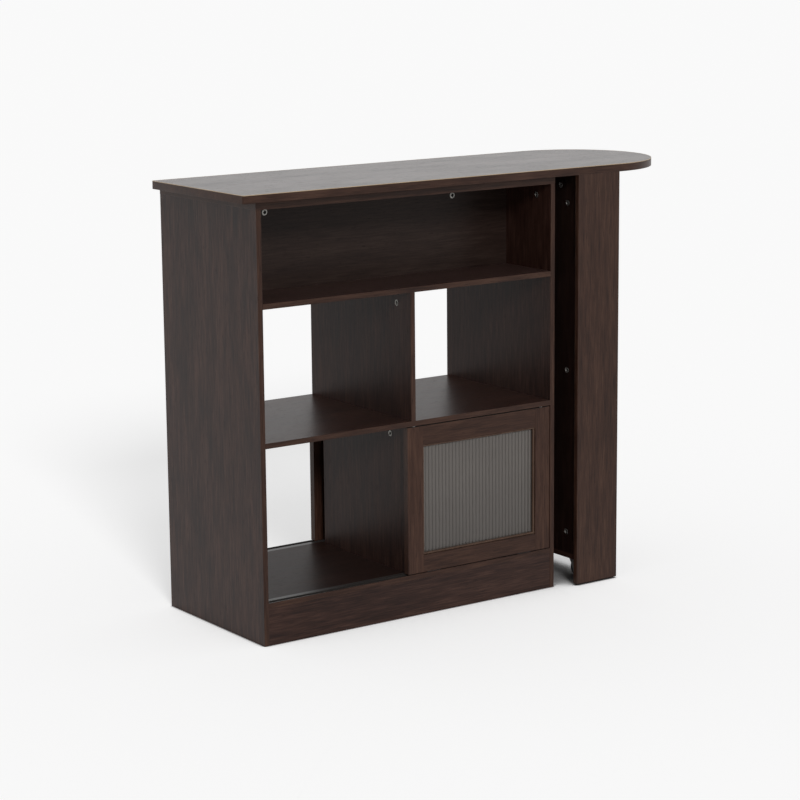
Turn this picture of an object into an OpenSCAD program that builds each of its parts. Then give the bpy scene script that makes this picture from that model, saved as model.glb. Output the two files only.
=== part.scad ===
// Bar cabinet with a swinging table top.
// X runs along the front from left to right, Y from front to back, Z up from the floor.
// Sizes are worked out from the cabinet's front left foot; in_frame() then moves each
// piece so that the origin lies on the floor under the middle of the whole object.

/* [Cabinet] */
// Clear width of each of the two bays
bay_w = 381; // [340:1:420]
// Depth of the cabinet, front edge to rear edge
cab_d = 400; // [380:1:420]
// Thickness of the sides, shelves, dividers and plinths
board_t = 12; // [12:0.5:15]
// Thickness of the cabinet top
cab_top_t = 15; // [14:0.5:20]
// Height of the plinths under the floor panel
plinth_h = 83; // [60:1:110]
// Clear height of the lower row
lower_h = 340; // [300:1:380]
// Clear height of the middle row
middle_h = 288; // [240:1:330]
// Clear height of the top row
upper_h = 199; // [160:1:240]
// Front face of the board that stands across the top row
partition_y = 165; // [120:1:168]
// Set-back of the lower divider behind the cabinet's front edge
divider_inset = 30; // [30:1:40]
// Set-back of the lower divider before the cabinet's rear edge
divider_rear = 45; // [32:1:80]

/* [Table] */
// Thickness of the table top
table_t = 18; // [16:0.5:22]
// Depth of the table top, also the diameter of its round end
table_d = 379; // [370:1:390]
// Straight part of the table top past the leg, before the round end begins
round_start = 9; // [4:1:60]
// Radius of the two corners at the square end
table_corner = 4; // [2:0.5:20]
// Overhang of the table top past the cabinet's left side
table_left = 47; // [30:1:60]
// Overhang of the table top past the cabinet's front
table_front = 27; // [20:1:32]
// Gap between the cabinet top and the table top
swing_gap = 3.5; // [3:0.5:6]
// Pivot to the cabinet's left side, and to its front
pivot_in = 200; // [195:1:205]

/* [Leg] */
// Width of the leg's front and rear boards
leg_w = 120; // [110:1:125]
// Gap between the cabinet's right side and the leg
leg_gap = 48; // [46:1:60]
// Gap between the leg's boards and the floor
leg_clear = 4; // [3:0.5:8]
// Underside of the leg's bottom board, where the casters are fixed
leg_raise = 59; // [59:1:70]
// Set-back of the leg's side board behind the edges of its front and rear boards
web_inset = 4; // [2:0.5:6]

/* [Casters] */
// Radius of a caster wheel
wheel_r = 21; // [20:0.5:21]
// Width of a caster wheel
wheel_w = 18; // [16:1:20]
// Distance from the swivel axis to the wheel's axle
caster_trail = 14; // [12:1:15]
// Swivel axis to the front or rear edge of the leg
caster_in = 81; // [70:1:90]

/* [Doors] */
// How far a closed door reaches past the lower divider
door_past = 10; // [6:1:14]
// Thickness of a door frame
door_t = 16; // [15:0.5:18]
// Width of the stiles
stile_w = 41.5; // [36:0.5:46]
// Height of the top rail
top_rail_h = 43.5; // [36:0.5:48]
// Height of the bottom rail
bottom_rail_h = 39.5; // [36:0.5:46]
// Set-back of the glass behind the door's front face
glass_back = 8.5; // [7:0.5:9]
// Thickness of the fluted glass over its ridges
glass_t = 4; // [3.5:0.5:5]
// Number of ridges across the glass
glass_ridges = 35; // [20:1:50]

/* [Hidden] */
$fn = 64;

// Colours
wood_dark = [0.26, 0.21, 0.19];
wood_edge = [0.30, 0.22, 0.18];
steel = [0.72, 0.72, 0.74];
track_grey = [0.42, 0.42, 0.43];
nylon = [0.90, 0.90, 0.88];
black = [0.10, 0.10, 0.11];

// Cabinet levels and edges
cab_w = 2 * bay_w + 3 * board_t;
x_in_left = board_t;
x_in_right = cab_w - board_t;
x_div = board_t + bay_w;
divider_y1 = cab_d - divider_rear;
z_floor = plinth_h + board_t;
z_mid = z_floor + lower_h;
z_upper = z_mid + board_t + middle_h;
z_row = z_upper + board_t;
z_side = z_row + upper_h;
z_cab = z_side + cab_top_t;

// Table and leg
round_steps = 180;
z_table = z_cab + swing_gap;
table_r = table_d / 2;
table_y1 = table_d - table_front;
leg_x0 = cab_w + leg_gap;
table_straight = table_left + leg_x0 + leg_w + round_start;
table_len = table_straight + table_r;
web_x0 = leg_x0 + web_inset;
leg_y0 = -table_front + board_t;
leg_y1 = table_y1 - board_t;
board_x1 = leg_x0 + leg_w - web_inset;

// The origin of the part, measured from the cabinet's front left foot
frame_x = (table_len - 2 * table_left) / 2;
frame_y = (cab_d - table_front) / 2;

// Small gaps: between a fixed piece and its bore, and between pieces that run.
// A cut runs past the face that it opens by over.
fit = 0.05;
run = 0.3;
over = 1;

// Cam locks: disc, its bolt, and where they sit
cam_r = 7.4;
cam_bore_r = 7.5;
cam_depth = 9.5;
cam_edge = 28.5;
cam_in = 53;
level_cam_in = 83;
cam_socket_r = 3.6;
cam_socket_depth = 2.5;
bolt_r = 3;
bolt_bore_r = 3.5;
bolt_level = 6;
bolt_start = 1;
thread_r = 2.5;
thread_len = 9;
partition_cam_left = 113;
partition_cam_right = 155;

// Dowels
dowel_r = 3;
dowel_up = 20;
dowel_down = 8;
dowel_in = 60;

// Doors and tracks, measured from the edge that the door lies at
door_face = 1;
door_gap_side = 1;
door_gap_low = 1.5;
door_gap_high = 2.7;
door_x1 = x_in_right - door_gap_side;
door_x0 = x_div - door_past;
door_z0 = z_floor + door_gap_low;
door_z1 = z_mid - door_gap_high;
door_mid = door_face + door_t / 2;
track_y0 = 1;
track_y1 = 29.5;
track_wall = 1.5;
track_deep = 7;
track_lip = 2;
channel_w = 13;
channel_y0 = door_mid - channel_w / 2;
channel_y1 = door_mid + channel_w / 2;
groove_deep = 6;
glass_slack = 0.1;
ridge_deep = 1.4;

// Door carriages, wheels and guides
carriage_l = 36;
carriage_w = 12.4;
carriage_h = 20;
carriage_in = 30;
carriage_lift = 2;
roller_r = 8;
roller_w = 6;
roller_slot = 6.8;
slot_half = roller_r + 1;
axle_r = 1.5;
guide_r = 6.2;
guide_stem_r = 3;
guide_stem_len = 15;

// Pivot
pivot_r = 5;
flange_r = 40;
flange_t = 4;
bushing_r = 9;
bushing_flange_r = 17;
bushing_flange_t = 2;
ring_r = 90;
ring_bore_r = 10;
ring_t = swing_gap - run;
nut_r = 9;
nut_t = 8;
washer_r = 16;
washer_t = 2;
washer_gap = 0.2;
shaft_end = 2;

// Caster bodies
plate_size = 42;
plate_t = 2.5;
kingpin_r = 4;
kingpin_head_r = 6.5;
kingpin_head_t = 1.8;
race_r = 14;
wheel_clear = 4;
crown_z0 = 2 * wheel_r + wheel_clear;
crown_t = 3.5;
crown_y1 = 12;
hub_half = 7;
tip_half = 4;
tip_low = 6;
cheek_t = 2.4;
cheek_gap = 0.6;
caster_axle_r = 2.5;
axle_end = 1;
fork_half = wheel_w / 2 + cheek_gap + cheek_t;
caster_x = leg_x0 + leg_w / 2;
leg_dowel_in = 35;
screw_in = 16;
screw_r = 2;
screw_len = 9;
screw_head_r = 3.6;
screw_head_t = 1.5;

// Moves a piece from the cabinet's front left foot to the part's origin
module in_frame() {
    translate([-frame_x, -frame_y, 0]) children();
}

// Turns front pieces into rear ones
module at_rear() {
    translate([0, cab_d, 0]) mirror([0, 1, 0]) children();
}

// A box from its low corner to its high corner
module box(low, high) {
    translate(low) cube(high - low);
}

// The directions that a cam lock can face. Its disc opens along local Z and its bolt
// leaves along local X.
module opens_x(side) {
    rotate([0, side * 90, 0]) rotate([0, 0, side > 0 ? 180 : 0]) children();
}
module opens_y(side) {
    rotate([0, 0, 90]) opens_x(side) children();
}
module opens_down(side) {
    rotate([0, 0, side > 0 ? 0 : 180]) rotate([180, 0, 0]) children();
}
module opens_y_bolt_x(face, side) {
    rotate([0, side * 90, 0]) opens_y(face) children();
}
module web_lock(side) {
    rotate([side * -90, 0, 0]) opens_x(-1) children();
}

// What a cam lock takes out of its own board: the disc's bore and the bolt's way out
module cam_cut(edge) {
    translate([0, 0, -cam_depth]) cylinder(r = cam_bore_r, h = cam_depth + over);
    translate([0, 0, -bolt_level]) rotate([0, 90, 0]) cylinder(r = bolt_bore_r, h = edge + over);
}

// What it takes out of the board that it pulls on
module thread_cut(edge) {
    translate([edge - over, 0, -bolt_level]) rotate([0, 90, 0])
        cylinder(r = thread_r + fit, h = thread_len + over);
}

// The disc, with its socket and the way in for the bolt's head
module cam_disc() {
    difference() {
        translate([0, 0, -cam_depth]) cylinder(r = cam_r, h = cam_depth);
        translate([0, 0, -cam_socket_depth]) cylinder(r = cam_socket_r, h = cam_socket_depth + over);
        translate([0, 0, -bolt_level]) rotate([0, 90, 0]) cylinder(r = bolt_r + fit, h = 2 * cam_r);
    }
}

// The bolt, from inside the disc to the end of its thread
module cam_bolt(edge) {
    translate([bolt_start, 0, -bolt_level]) rotate([0, 90, 0]) {
        cylinder(r = bolt_r, h = edge - bolt_start);
        translate([0, 0, edge - bolt_start]) cylinder(r = thread_r, h = thread_len);
    }
}

// Places of the cabinet's cam locks, grouped by the board that holds the disc
module side_top_locks() {
    for (side = [-1, 1], y = [cam_in, cab_d - cam_in])
        translate([side < 0 ? x_in_left : x_in_right, y, z_side - cam_edge]) opens_x(-side) children();
}
module partition_locks() {
    for (x = [x_in_left + partition_cam_left, x_in_right - partition_cam_right])
        translate([x, partition_y, z_side - cam_edge]) opens_y(-1) children();
}
module middle_divider_locks() {
    for (y = [cam_in, cab_d - cam_in])
        translate([x_div, y, z_upper - cam_edge]) opens_x(-1) children();
}
module lower_divider_locks() {
    for (y = [divider_inset + cam_in, divider_y1 - cam_in])
        translate([x_div, y, z_mid - cam_edge]) opens_x(-1) children();
}
module level_board_locks(z) {
    for (side = [-1, 1], y = [level_cam_in, cab_d - level_cam_in])
        translate([side < 0 ? x_in_left + cam_edge : x_in_right - cam_edge, y, z])
            opens_down(side) children();
}
module plinth_locks() {
    for (side = [-1, 1])
        translate([side < 0 ? x_in_left + cam_edge : x_in_right - cam_edge, board_t, plinth_h / 2])
            opens_y_bolt_x(1, side) children();
}
module all_cabinet_locks() {
    side_top_locks() children();
    partition_locks() children();
    middle_divider_locks() children();
    lower_divider_locks() children();
    level_board_locks(z_upper) children();
    level_board_locks(z_mid) children();
    level_board_locks(plinth_h) children();
    plinth_locks() children();
    at_rear() plinth_locks() children();
}

// Dowels at the feet of the upright boards: place lists of x, y and the joint's level
dowel_places = concat(
    [for (y = [dowel_in, cab_d - dowel_in]) [x_div + board_t / 2, y, z_mid + board_t]],
    [for (y = [divider_inset + dowel_in, divider_y1 - dowel_in])
        [x_div + board_t / 2, y, z_floor]],
    [for (x = [x_in_left + dowel_in, x_in_right - dowel_in])
        [x, partition_y + board_t / 2, z_row]]
);
module dowels(r) {
    for (p = dowel_places)
        translate([p[0], p[1], p[2] - dowel_down]) cylinder(r = r, h = dowel_down + dowel_up);
}

// Boards of the cabinet
module side_board() {
    difference() {
        box([0, 0, 0], [board_t, cab_d, z_side]);
        side_top_locks() cam_cut(cam_edge);
        level_board_locks(z_upper) thread_cut(cam_edge);
        level_board_locks(z_mid) thread_cut(cam_edge);
        level_board_locks(plinth_h) thread_cut(cam_edge);
        plinth_locks() thread_cut(cam_edge);
        at_rear() plinth_locks() thread_cut(cam_edge);
    }
}
module left_side() {
    color(wood_dark) in_frame() side_board();
}
module right_side() {
    color(wood_dark) in_frame() translate([cab_w, 0, 0]) mirror([1, 0, 0]) side_board();
}

// The cabinet top has the bore for the pivot's bushing
module cabinet_top() {
    color(wood_dark) in_frame() difference() {
        box([0, 0, z_side], [cab_w, cab_d, z_cab]);
        translate([pivot_in, pivot_in, z_side - over])
            cylinder(r = bushing_r + fit, h = cab_top_t + 2 * over);
        side_top_locks() thread_cut(cam_edge);
        partition_locks() thread_cut(cam_edge);
    }
}

module upper_shelf() {
    color(wood_dark) in_frame() difference() {
        box([x_in_left, 0, z_upper], [x_in_right, cab_d, z_row]);
        level_board_locks(z_upper) cam_cut(cam_edge);
        middle_divider_locks() thread_cut(cam_edge);
        dowels(dowel_r + fit);
    }
}

// The outline of a track across the door's travel, seen from the left, with its
// channel downwards and its top face at level zero
track_outline = [
    [track_y0, -track_deep], [channel_y1 + track_wall, -track_deep],
    [channel_y1 + track_wall, -track_lip], [track_y1, -track_lip], [track_y1, 0],
    [channel_y1, 0], [channel_y1, track_wall - track_deep],
    [channel_y0, track_wall - track_deep], [channel_y0, 0], [track_y0, 0]
];
module track() {
    translate([x_in_left, 0, 0]) rotate([90, 0, 90])
        linear_extrude(height = x_in_right - x_in_left) polygon(track_outline);
}

// The grooves that the tracks lie in
module track_groove() {
    box([x_in_left - over, track_y0, -track_deep], [x_in_right + over, channel_y1 + track_wall, over]);
    box([x_in_left - over, track_y0, -track_lip], [x_in_right + over, track_y1, over]);
}
module floor_tracks() {
    translate([0, 0, z_floor]) children();
}
module top_tracks() {
    translate([0, 0, z_mid]) mirror([0, 0, 1]) children();
}

module middle_shelf() {
    color(wood_dark) in_frame() difference() {
        box([x_in_left, 0, z_mid], [x_in_right, cab_d, z_mid + board_t]);
        level_board_locks(z_mid) cam_cut(cam_edge);
        lower_divider_locks() thread_cut(cam_edge);
        dowels(dowel_r + fit);
        top_tracks() track_groove();
        at_rear() top_tracks() track_groove();
    }
}
module floor_panel() {
    color(wood_dark) in_frame() difference() {
        box([x_in_left, 0, plinth_h], [x_in_right, cab_d, z_floor]);
        level_board_locks(plinth_h) cam_cut(cam_edge);
        dowels(dowel_r + fit);
        floor_tracks() track_groove();
        at_rear() floor_tracks() track_groove();
    }
}

module plinth() {
    difference() {
        box([x_in_left, 0, 0], [x_in_right, board_t, plinth_h]);
        plinth_locks() cam_cut(cam_edge);
    }
}
module front_plinth() {
    color(wood_edge) in_frame() plinth();
}
module rear_plinth() {
    color(wood_edge) in_frame() at_rear() plinth();
}

// The board across the top row, open to the front and to the rear on its two sides
module upper_partition() {
    color(wood_dark) in_frame() difference() {
        box([x_in_left, partition_y, z_row], [x_in_right, partition_y + board_t, z_side]);
        partition_locks() cam_cut(cam_edge);
        dowels(dowel_r + fit);
    }
}
module middle_divider() {
    color(wood_dark) in_frame() difference() {
        box([x_div, 0, z_mid + board_t], [x_div + board_t, cab_d, z_upper]);
        middle_divider_locks() cam_cut(cam_edge);
        dowels(dowel_r + fit);
    }
}

// The lower divider ends before the tracks so that the doors pass it
module lower_divider() {
    color(wood_dark) in_frame() difference() {
        box([x_div, divider_inset, z_floor], [x_div + board_t, divider_y1, z_mid]);
        lower_divider_locks() cam_cut(cam_edge);
        dowels(dowel_r + fit);
    }
}

module front_floor_track() {
    color(track_grey) in_frame() floor_tracks() track();
}
module rear_floor_track() {
    color(track_grey) in_frame() at_rear() floor_tracks() track();
}
module front_top_track() {
    color(track_grey) in_frame() top_tracks() track();
}
module rear_top_track() {
    color(track_grey) in_frame() at_rear() top_tracks() track();
}

module cabinet_cams() {
    color(steel) in_frame() all_cabinet_locks() cam_disc();
}
module cabinet_cam_bolts() {
    color(steel) in_frame() all_cabinet_locks() cam_bolt(cam_edge);
}
module cabinet_dowels() {
    color("burlywood") in_frame() dowels(dowel_r);
}

// Doors: everything is drawn for the front door and mirrored for the rear one
rail_x0 = door_x0 + stile_w;
rail_x1 = door_x1 - stile_w;
carriage_places = [rail_x0 + carriage_in, rail_x1 - carriage_in];
guide_places = [door_x0 + stile_w / 2, door_x1 - stile_w / 2];
carriage_z0 = z_floor - track_deep + track_wall + carriage_lift;
roller_z = z_floor - track_deep + track_wall + run + roller_r;
glass_y0 = door_face + glass_back;

// The space for the glass, a little larger than the glass on every side
module glass_groove() {
    box([rail_x0 - groove_deep, glass_y0 - glass_slack, door_z0 + bottom_rail_h - groove_deep],
        [rail_x1 + groove_deep, glass_y0 + glass_t + glass_slack, door_z1 - top_rail_h + groove_deep]);
}
module guide_cut() {
    for (x = guide_places)
        translate([x, door_mid, door_z1 - guide_stem_len])
            cylinder(r = guide_stem_r + fit, h = guide_stem_len + over);
}
module stile(x0) {
    difference() {
        box([x0, door_face, door_z0], [x0 + stile_w, door_face + door_t, door_z1]);
        glass_groove();
        guide_cut();
    }
}
module top_rail() {
    difference() {
        box([rail_x0, door_face, door_z1 - top_rail_h], [rail_x1, door_face + door_t, door_z1]);
        glass_groove();
    }
}

// The bottom rail has a pocket for each carriage
module bottom_rail() {
    difference() {
        box([rail_x0, door_face, door_z0], [rail_x1, door_face + door_t, door_z0 + bottom_rail_h]);
        glass_groove();
        for (x = carriage_places)
            box([x - carriage_l / 2 - fit, door_mid - carriage_w / 2 - fit, door_z0 - over],
                [x + carriage_l / 2 + fit, door_mid + carriage_w / 2 + fit, carriage_z0 + carriage_h]);
    }
}

// Fluted glass: flat at the back, with upright round ridges on the front
glass_x0 = rail_x0 - groove_deep;
glass_x1 = rail_x1 + groove_deep;
ridge_w = (glass_x1 - glass_x0) / glass_ridges;
ridge_steps = 6;
function ridge_front(u) = glass_y0 + ridge_deep * (1 - sin(180 * u));
glass_outline = concat(
    [for (i = [0:glass_ridges * ridge_steps])
        [glass_x0 + i * ridge_w / ridge_steps, ridge_front((i % ridge_steps) / ridge_steps)]],
    [[glass_x1, glass_y0 + glass_t], [glass_x0, glass_y0 + glass_t]]
);
module glass() {
    translate([0, 0, door_z0 + bottom_rail_h - groove_deep])
        linear_extrude(height = door_z1 - door_z0 - top_rail_h - bottom_rail_h + 2 * groove_deep)
            polygon(glass_outline);
}

// A carriage is a nylon block with a slot for its wheel
module carriages() {
    for (x = carriage_places) difference() {
        box([x - carriage_l / 2, door_mid - carriage_w / 2, carriage_z0],
            [x + carriage_l / 2, door_mid + carriage_w / 2, carriage_z0 + carriage_h]);
        box([x - slot_half, door_mid - roller_slot / 2, carriage_z0 - over],
            [x + slot_half, door_mid + roller_slot / 2, roller_z + slot_half]);
        translate([x, door_mid + carriage_w, roller_z]) rotate([90, 0, 0])
            cylinder(r = axle_r + fit, h = 2 * carriage_w);
    }
}
module axles() {
    for (x = carriage_places)
        translate([x, door_mid + carriage_w / 2, roller_z]) rotate([90, 0, 0])
            cylinder(r = axle_r, h = carriage_w);
}
module roller(x) {
    translate([x, door_mid + roller_w / 2, roller_z]) rotate([90, 0, 0]) difference() {
        cylinder(r = roller_r, h = roller_w);
        translate([0, 0, -over]) cylinder(r = axle_r + fit, h = roller_w + 2 * over);
    }
}

// A guide is a round nylon button whose stem sits in the top of a stile
guide_top = z_mid + track_deep - track_wall - run;
module guides() {
    for (x = guide_places) translate([x, door_mid, 0]) {
        translate([0, 0, door_z1]) cylinder(r = guide_r, h = guide_top - door_z1);
        translate([0, 0, door_z1 - guide_stem_len]) cylinder(r = guide_stem_r, h = guide_stem_len);
    }
}

module front_door_left_stile() {
    color(wood_edge) in_frame() stile(door_x0);
}
module front_door_right_stile() {
    color(wood_edge) in_frame() stile(rail_x1);
}
module front_door_top_rail() {
    color(wood_edge) in_frame() top_rail();
}
module front_door_bottom_rail() {
    color(wood_edge) in_frame() bottom_rail();
}
module front_door_glass() {
    color([0.55, 0.54, 0.52, 0.6]) in_frame() glass();
}
module front_door_carriages() {
    color(nylon) in_frame() carriages();
}
module front_door_axles() {
    color(steel) in_frame() axles();
}
module front_door_guides() {
    color(nylon) in_frame() guides();
}
module front_door_wheel_left() {
    color(nylon) in_frame() roller(carriage_places[0]);
}
module front_door_wheel_right() {
    color(nylon) in_frame() roller(carriage_places[1]);
}

module rear_door_left_stile() {
    color(wood_edge) in_frame() at_rear() stile(door_x0);
}
module rear_door_right_stile() {
    color(wood_edge) in_frame() at_rear() stile(rail_x1);
}
module rear_door_top_rail() {
    color(wood_edge) in_frame() at_rear() top_rail();
}
module rear_door_bottom_rail() {
    color(wood_edge) in_frame() at_rear() bottom_rail();
}
module rear_door_glass() {
    color([0.55, 0.54, 0.52, 0.6]) in_frame() at_rear() glass();
}
module rear_door_carriages() {
    color(nylon) in_frame() at_rear() carriages();
}
module rear_door_axles() {
    color(steel) in_frame() at_rear() axles();
}
module rear_door_guides() {
    color(nylon) in_frame() at_rear() guides();
}
module rear_door_wheel_left() {
    color(nylon) in_frame() at_rear() roller(carriage_places[0]);
}
module rear_door_wheel_right() {
    color(nylon) in_frame() at_rear() roller(carriage_places[1]);
}

// Places of the leg's cam locks: web to the front and rear boards, web and boards to the table
web_cam_edge = 34;
web_cam_in = 59;
web_lock_low = 62;
web_lock_mid = 4;
web_lock_high = 68;
web_lock_levels = [
    leg_raise + web_lock_low,
    (leg_raise + z_table) / 2 - web_lock_mid,
    z_table - web_lock_high
];
module web_side_locks() {
    for (z = web_lock_levels) {
        translate([web_x0, leg_y0 + web_cam_edge, z]) web_lock(-1) children();
        translate([web_x0, leg_y1 - web_cam_edge, z]) web_lock(1) children();
    }
}
module web_top_locks() {
    for (y = [leg_y0 + web_cam_in, leg_y1 - web_cam_in])
        translate([web_x0, y, z_table - cam_edge]) opens_x(-1) children();
}
module leg_board_locks() {
    translate([caster_x, leg_y0, z_table - cam_edge]) opens_y(1) children();
    translate([caster_x, leg_y1, z_table - cam_edge]) opens_y(-1) children();
}
module leg_dowel_places() {
    for (x = [caster_x - leg_dowel_in, caster_x + leg_dowel_in]) {
        translate([x, leg_y0, leg_raise + board_t / 2]) rotate([-90, 0, 0]) children();
        translate([x, leg_y1, leg_raise + board_t / 2]) rotate([90, 0, 0]) children();
    }
}
module leg_dowel(r) {
    translate([0, 0, -dowel_down]) cylinder(r = r, h = dowel_down + dowel_up);
}

// Table top: square at the left, a half circle at the right, with a pocket for the pivot's flange
module table_top() {
    color(wood_dark) in_frame() difference() {
        translate([-table_left, 0, z_table]) union() {
            box([table_corner, -table_front, 0], [table_straight, table_y1, table_t]);
            box([0, table_corner - table_front, 0], [2 * table_corner, table_y1 - table_corner, table_t]);
            for (y = [table_corner - table_front, table_y1 - table_corner])
                translate([table_corner, y, 0]) cylinder(r = table_corner, h = table_t);
            translate([table_straight, table_y1 - table_r, 0])
                cylinder(r = table_r, h = table_t, $fn = round_steps);
        }
        translate([pivot_in, pivot_in, z_table - over]) cylinder(r = flange_r + fit, h = flange_t + over);
        web_top_locks() thread_cut(cam_edge);
        leg_board_locks() thread_cut(cam_edge);
    }
}

// The bolt hangs from a flange let into the table top and turns in the bushing
bushing_low = z_side - bushing_flange_t;
washer_top = bushing_low - washer_gap;
shaft_low = washer_top - washer_t - nut_t - shaft_end;
module pivot_bolt() {
    color(steel) in_frame() translate([pivot_in, pivot_in, 0]) {
        translate([0, 0, z_table]) cylinder(r = flange_r, h = flange_t);
        translate([0, 0, shaft_low]) cylinder(r = pivot_r, h = z_table - shaft_low);
    }
}
module pivot_nut() {
    color(steel) in_frame() translate([pivot_in, pivot_in, washer_top - washer_t]) difference() {
        union() {
            cylinder(r = washer_r, h = washer_t);
            translate([0, 0, -nut_t]) cylinder(r = nut_r, h = nut_t, $fn = 6);
        }
        translate([0, 0, -nut_t - over]) cylinder(r = pivot_r + fit, h = nut_t + washer_t + 2 * over);
    }
}
module pivot_bushing() {
    color(nylon) in_frame() translate([pivot_in, pivot_in, 0]) difference() {
        union() {
            translate([0, 0, bushing_low]) cylinder(r = bushing_flange_r, h = bushing_flange_t);
            translate([0, 0, z_side]) cylinder(r = bushing_r, h = cab_top_t);
        }
        translate([0, 0, bushing_low - over])
            cylinder(r = pivot_r + fit, h = cab_top_t + bushing_flange_t + 2 * over);
    }
}
module slip_ring() {
    color(nylon) in_frame() translate([pivot_in, pivot_in, z_cab]) difference() {
        cylinder(r = ring_r, h = ring_t);
        translate([0, 0, -over]) cylinder(r = ring_bore_r, h = ring_t + 2 * over);
    }
}

// Boards of the leg
module leg_end_board(y0) {
    difference() {
        box([leg_x0, y0, leg_clear], [leg_x0 + leg_w, y0 + board_t, z_table]);
        web_side_locks() thread_cut(web_cam_edge);
        leg_board_locks() cam_cut(cam_edge);
        leg_dowel_places() leg_dowel(dowel_r + fit);
    }
}
module leg_front_board() {
    color(wood_dark) in_frame() leg_end_board(-table_front);
}
module leg_rear_board() {
    color(wood_dark) in_frame() leg_end_board(leg_y1);
}
module leg_web() {
    color(wood_dark) in_frame() difference() {
        box([web_x0, leg_y0, leg_raise + board_t], [web_x0 + board_t, leg_y1, z_table]);
        web_side_locks() cam_cut(web_cam_edge);
        web_top_locks() cam_cut(cam_edge);
    }
}
module leg_bottom_board() {
    color(wood_dark) difference() {
        in_frame() box([web_x0, leg_y0, leg_raise], [board_x1, leg_y1, leg_raise + board_t]);
        in_frame() leg_dowel_places() leg_dowel(dowel_r + fit);
        front_caster() caster_screw_places() cylinder(r = screw_r + fit, h = screw_len);
        rear_caster() caster_screw_places() cylinder(r = screw_r + fit, h = screw_len);
    }
}
module leg_cams() {
    color(steel) in_frame() {
        web_side_locks() cam_disc();
        web_top_locks() cam_disc();
        leg_board_locks() cam_disc();
    }
}
module leg_cam_bolts() {
    color(steel) in_frame() {
        web_side_locks() cam_bolt(web_cam_edge);
        web_top_locks() cam_bolt(cam_edge);
        leg_board_locks() cam_bolt(cam_edge);
    }
}
module leg_dowels() {
    color("burlywood") in_frame() leg_dowel_places() leg_dowel(dowel_r);
}

// Casters, drawn about their swivel axis with the wheel towards the front
plate_z0 = leg_raise - plate_t;
crown_z1 = crown_z0 + crown_t;
module front_caster() {
    in_frame() translate([caster_x, caster_in - table_front, 0]) children();
}
module rear_caster() {
    in_frame() translate([caster_x, table_y1 - caster_in, 0]) children();
}
module caster_screw_places() {
    for (x = [-screw_in, screw_in], y = [-screw_in, screw_in])
        translate([x, y, leg_raise]) children();
}
module caster_screw() {
    translate([0, 0, -plate_t]) cylinder(r = screw_r, h = plate_t + screw_len);
    translate([0, 0, -plate_t - screw_head_t]) cylinder(r = screw_head_r, h = screw_head_t);
}
module caster_plate() {
    difference() {
        translate([-plate_size / 2, -plate_size / 2, plate_z0]) cube([plate_size, plate_size, plate_t]);
        caster_screw_places() translate([0, 0, -plate_t - over])
            cylinder(r = screw_r + fit, h = plate_t + 2 * over);
    }
    translate([0, 0, crown_z0 - run]) cylinder(r = kingpin_r, h = plate_z0 - crown_z0 + run);
    translate([0, 0, crown_z0 - run - kingpin_head_t]) cylinder(r = kingpin_head_r, h = kingpin_head_t);
}

// The cheek's outline from the side: Y forwards of the swivel axis is negative
cheek_outline = [
    [crown_y1, crown_z1], [-race_r, crown_z1], [-caster_trail - hub_half, wheel_r],
    [-caster_trail - tip_half, wheel_r - tip_low], [-caster_trail + tip_half, wheel_r - tip_low],
    [-caster_trail + hub_half, wheel_r]
];
module caster_fork() {
    difference() {
        union() {
            translate([-fork_half, -race_r, crown_z0]) cube([2 * fork_half, race_r + crown_y1, crown_t]);
            translate([0, 0, crown_z1]) cylinder(r = race_r, h = plate_z0 - run - crown_z1);
            for (x = [-fork_half, fork_half - cheek_t])
                translate([x, 0, 0]) rotate([90, 0, 90]) linear_extrude(height = cheek_t)
                    polygon(cheek_outline);
        }
        translate([0, 0, crown_z0 - over]) cylinder(r = kingpin_r + fit, h = plate_z0);
        translate([-fork_half - over, -caster_trail, wheel_r]) rotate([0, 90, 0])
            cylinder(r = caster_axle_r + fit, h = 2 * (fork_half + over));
    }
}
module caster_axle() {
    translate([-fork_half - axle_end, -caster_trail, wheel_r]) rotate([0, 90, 0])
        cylinder(r = caster_axle_r, h = 2 * (fork_half + axle_end));
}
module caster_wheel() {
    translate([-wheel_w / 2, -caster_trail, wheel_r]) rotate([0, 90, 0]) difference() {
        cylinder(r = wheel_r, h = wheel_w);
        translate([0, 0, -over]) cylinder(r = caster_axle_r + fit, h = wheel_w + 2 * over);
    }
}

module caster_screws() {
    color(steel) {
        front_caster() caster_screw_places() caster_screw();
        rear_caster() caster_screw_places() caster_screw();
    }
}
module front_caster_plate() {
    color(steel) front_caster() caster_plate();
}
module front_caster_fork() {
    color(steel) front_caster() caster_fork();
}
module front_caster_axle() {
    color(steel) front_caster() caster_axle();
}
module front_caster_wheel() {
    color(black) front_caster() caster_wheel();
}
module rear_caster_plate() {
    color(steel) rear_caster() caster_plate();
}
module rear_caster_fork() {
    color(steel) rear_caster() caster_fork();
}
module rear_caster_axle() {
    color(steel) rear_caster() caster_axle();
}
module rear_caster_wheel() {
    color(black) rear_caster() caster_wheel();
}

left_side();
right_side();
cabinet_top();
upper_shelf();
middle_shelf();
floor_panel();
front_plinth();
rear_plinth();
upper_partition();
middle_divider();
lower_divider();
front_floor_track();
rear_floor_track();
front_top_track();
rear_top_track();
cabinet_cams();
cabinet_cam_bolts();
cabinet_dowels();
front_door_left_stile();
front_door_right_stile();
front_door_top_rail();
front_door_bottom_rail();
front_door_glass();
front_door_carriages();
front_door_axles();
front_door_guides();
front_door_wheel_left();
front_door_wheel_right();
rear_door_left_stile();
rear_door_right_stile();
rear_door_top_rail();
rear_door_bottom_rail();
rear_door_glass();
rear_door_carriages();
rear_door_axles();
rear_door_guides();
rear_door_wheel_left();
rear_door_wheel_right();
table_top();
pivot_bolt();
pivot_nut();
pivot_bushing();
slip_ring();
leg_front_board();
leg_rear_board();
leg_web();
leg_bottom_board();
leg_cams();
leg_cam_bolts();
leg_dowels();
caster_screws();
front_caster_plate();
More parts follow.
